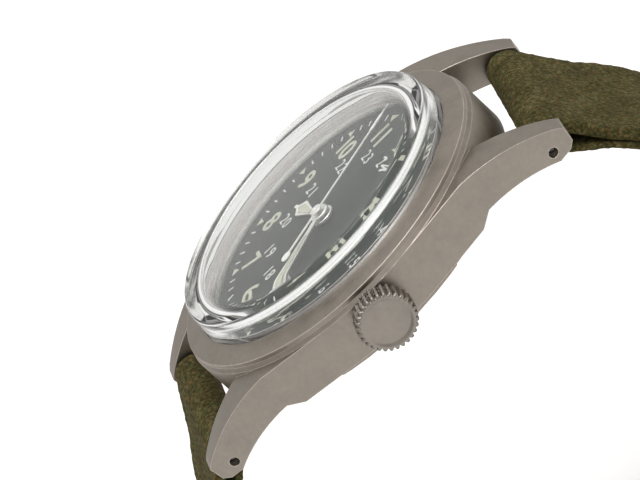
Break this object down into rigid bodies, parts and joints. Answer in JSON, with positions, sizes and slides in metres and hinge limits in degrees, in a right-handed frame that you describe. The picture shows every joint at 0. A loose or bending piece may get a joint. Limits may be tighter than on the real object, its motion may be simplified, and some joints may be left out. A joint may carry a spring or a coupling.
{
  "type": "field wristwatch",
  "caption": "Hand-wound field watch with drilled lugs, high box crystal and fluted crown on a buckled canvas strap.",
  "frame": {"origin": "centre of the case back's flat outer face", "axes": "+Z out of the dial, +Y towards twelve o'clock, +X along the crown"},
  "size_m": [0.037, 0.0617, 0.0533],
  "materials": {
    "case_steel": "bead-blasted matte",
    "bright_steel": "polished",
    "spring_steel": "blued-grey satin",
    "plate_metal": "matte plated",
    "wheel_brass": "satin",
    "bright_ring": "turned bright",
    "crystal": "clear polished plastic",
    "rubber_seal": "smooth",
    "dial_black": "matte",
    "hand_metal": "satin",
    "second_hand_white": "painted",
    "canvas": "woven olive canvas"
  },
  "bodies": {
    "watch": {"mid_case": "case_steel", "crystal": "crystal", "flange_ring": "bright_ring", "case_back": "case_steel", "case_back_gasket": "rubber_seal", "crown_tube": "case_steel", "main_plate": "plate_metal", "keyless_cover": "bright_steel", "barrel_bridge": "plate_metal", "train_bridge": "plate_metal", "pallet_bridge": "plate_metal", "balance_cock": "plate_metal", "regulator": "bright_steel", "hairspring": "spring_steel", "click_spring": "spring_steel", "movement_screws": "bright_steel", "holder_ring": "plate_metal", "case_clamps": "bright_steel", "dial": "dial_black", "spring_bar_tubes": "bright_steel", "short_strap": "canvas", "long_strap": "canvas", "fixed_keeper": "canvas", "buckle_bar": "bright_steel"},
    "seconds": {"seconds_wheel": "wheel_brass", "second_hand": "second_hand_white"},
    "third": {"third_wheel": "wheel_brass"},
    "great": {"great_wheel": "wheel_brass"},
    "barrel": {"barrel": "wheel_brass", "barrel_cover": "wheel_brass", "mainspring": "spring_steel"},
    "escape": {"escape_wheel": "bright_steel"},
    "cannon": {"cannon_pinion": "bright_steel", "minute_hand": "hand_metal"},
    "minute_work": {"minute_wheel": "wheel_brass"},
    "hour": {"hour_wheel": "wheel_brass", "hour_hand": "hand_metal"},
    "setting": {"setting_wheel": "bright_steel"},
    "crown_seal": {"crown_gasket": "rubber_seal"},
    "crown": {"crown": "case_steel", "stem": "bright_steel"},
    "sliding_pinion": {"sliding_pinion": "bright_steel"},
    "setting_lever": {"setting_lever": "bright_steel"},
    "yoke": {"yoke": "bright_steel"},
    "winding_pinion": {"winding_pinion": "bright_steel"},
    "crown_wheel": {"crown_wheel": "bright_steel"},
    "ratchet": {"ratchet_wheel": "bright_steel", "barrel_arbor": "bright_steel", "ratchet_screw": "bright_steel"},
    "balance": {"balance_wheel": "wheel_brass"},
    "pallets": {"pallet_fork": "bright_steel"},
    "click": {"click": "bright_steel"},
    "buckle": {"buckle_frame": "case_steel"},
    "tongue": {"buckle_tongue": "case_steel"},
    "sliding_keeper": {"sliding_keeper": "canvas"},
    "tip_twelve_crown": {"spring_bar_tip_twelve_crown": "bright_steel"},
    "tip_twelve_far": {"spring_bar_tip_twelve_far": "bright_steel"},
    "tip_six_crown": {"spring_bar_tip_six_crown": "bright_steel"},
    "tip_six_far": {"spring_bar_tip_six_far": "bright_steel"}
  },
  "joints": [
    {"name": "seconds_turn", "type": "hinge", "parent": "watch", "child": "seconds", "pos_m": [0, 0, 0.004], "axis": [0, 0, -1], "continuous": true},
    {"name": "third_turn", "type": "hinge", "parent": "watch", "child": "third", "pos_m": [-0.00241, 0.00189, 0.003], "axis": [0, 0, -1], "continuous": true},
    {"name": "great_turn", "type": "hinge", "parent": "watch", "child": "great", "pos_m": [-0.0016, 0.0054, 0.003], "axis": [0, 0, -1], "continuous": true},
    {"name": "barrel_turn", "type": "hinge", "parent": "watch", "child": "barrel", "pos_m": [0.0036, 0.0066, 0.0038], "axis": [0, 0, -1], "continuous": true},
    {"name": "escape_turn", "type": "hinge", "parent": "watch", "child": "escape", "pos_m": [-0.00157, -0.00224, 0.003], "axis": [0, 0, -1], "continuous": true},
    {"name": "minutes_turn", "type": "hinge", "parent": "watch", "child": "cannon", "pos_m": [0, 0, 0.005], "axis": [0, 0, -1], "continuous": true},
    {"name": "minute_work_turn", "type": "hinge", "parent": "watch", "child": "minute_work", "pos_m": [0.0024, 0, 0.005], "axis": [0, 0, -1], "continuous": true},
    {"name": "hours_turn", "type": "hinge", "parent": "watch", "child": "hour", "pos_m": [0, 0, 0.0054], "axis": [0, 0, -1], "continuous": true},
    {"name": "setting_turn", "type": "hinge", "parent": "watch", "child": "setting", "pos_m": [0.00492, 0, 0.005], "axis": [0, 0, -1], "continuous": true},
    {"name": "crown_pull", "type": "slide", "parent": "watch", "child": "crown_seal", "axis": [1, 0, 0], "range_m": [0, 0.0009]},
    {"name": "crown_turn", "type": "hinge", "parent": "crown_seal", "child": "crown", "pos_m": [0.0175, 0, 0.0041], "axis": [1, 0, 0], "continuous": true},
    {"name": "sliding_pinion_shift", "type": "slide", "parent": "crown", "child": "sliding_pinion", "axis": [1, 0, 0], "range_m": [-0.0018, 0]},
    {"name": "setting_lever_turn", "type": "hinge", "parent": "watch", "child": "setting_lever", "pos_m": [0.0117, 0.0026, 0.0049], "axis": [0, 0, 1], "range_deg": [0, 24.4]},
    {"name": "yoke_turn", "type": "hinge", "parent": "watch", "child": "yoke", "pos_m": [0.0074, -0.0036, 0.0041], "axis": [0, 0, 1], "range_deg": [0, 17.9]},
    {"name": "winding_pinion_turn", "type": "hinge", "parent": "watch", "child": "winding_pinion", "pos_m": [0.00985, 0, 0.0041], "axis": [1, 0, 0], "continuous": true},
    {"name": "crown_wheel_turn", "type": "hinge", "parent": "watch", "child": "crown_wheel", "pos_m": [0.0072, 0, 0.0025], "axis": [0, 0, 1], "continuous": true},
    {"name": "ratchet_turn", "type": "hinge", "parent": "watch", "child": "ratchet", "pos_m": [0.0036, 0.0066, 0.0021], "axis": [0, 0, 1], "continuous": true},
    {"name": "balance_swing", "type": "hinge", "parent": "watch", "child": "balance", "pos_m": [-0.00452, -0.00645, 0.0025], "axis": [0, 0, 1], "range_deg": [-270, 270], "stiffness_Nm_per_rad": 0.00000012},
    {"name": "pallet_rock", "type": "hinge", "parent": "watch", "child": "pallets", "pos_m": [-0.00286, -0.00408, 0.003], "axis": [0, 0, 1], "range_deg": [-5, 5]},
    {"name": "click_rock", "type": "hinge", "parent": "watch", "child": "click", "pos_m": [-0.00167, 0.00884, 0.0021], "axis": [0, 0, 1], "range_deg": [0, 8], "stiffness_Nm_per_rad": 0.0000001},
    {"name": "buckle_tilt", "type": "hinge", "parent": "watch", "child": "buckle", "pos_m": [0, -0.00381, -0.03812], "axis": [1, 0, 0], "range_deg": [-2, 2]},
    {"name": "tongue_lift", "type": "hinge", "parent": "buckle", "child": "tongue", "pos_m": [0, -0.00381, -0.03812], "axis": [1, 0, 0], "range_deg": [0, 80]},
    {"name": "keeper_slide", "type": "slide", "parent": "watch", "child": "sliding_keeper", "axis": [0, -0.985, -0.1724], "range_m": [-0.0015, 0.001]},
    {"name": "tip_twelve_crown_press", "type": "slide", "parent": "watch", "child": "tip_twelve_crown", "axis": [-1, 0, 0], "range_m": [0, 0.00165], "stiffness_N_per_m": 2},
    {"name": "tip_twelve_far_press", "type": "slide", "parent": "watch", "child": "tip_twelve_far", "axis": [1, 0, 0], "range_m": [0, 0.00165], "stiffness_N_per_m": 2},
    {"name": "tip_six_crown_press", "type": "slide", "parent": "watch", "child": "tip_six_crown", "axis": [-1, 0, 0], "range_m": [0, 0.00165], "stiffness_N_per_m": 2},
    {"name": "tip_six_far_press", "type": "slide", "parent": "watch", "child": "tip_six_far", "axis": [1, 0, 0], "range_m": [0, 0.00165], "stiffness_N_per_m": 2}
  ],
  "couplings": [
    {"joint": "third_turn", "follows": "seconds_turn", "ratio": -0.13333},
    {"joint": "great_turn", "follows": "seconds_turn", "ratio": 0.016667},
    {"joint": "barrel_turn", "follows": "seconds_turn", "ratio": -0.002381},
    {"joint": "escape_turn", "follows": "seconds_turn", "ratio": -10},
    {"joint": "minutes_turn", "follows": "seconds_turn", "ratio": 0.016667},
    {"joint": "minute_work_turn", "follows": "seconds_turn", "ratio": -0.0055556},
    {"joint": "hours_turn", "follows": "seconds_turn", "ratio": 0.0013889},
    {"joint": "setting_turn", "follows": "seconds_turn", "ratio": 0.013889},
    {"joint": "sliding_pinion_shift", "follows": "crown_pull", "ratio": -2},
    {"joint": "setting_lever_turn", "follows": "crown_pull", "rad_per_m": 469.1},
    {"joint": "yoke_turn", "follows": "crown_pull", "rad_per_m": 342.1},
    {"joint": "winding_pinion_turn", "follows": "crown_turn", "ratio": 1},
    {"joint": "crown_wheel_turn", "follows": "crown_turn", "ratio": 0.53846},
    {"joint": "ratchet_turn", "follows": "crown_turn", "ratio": -0.33333}
  ]
}
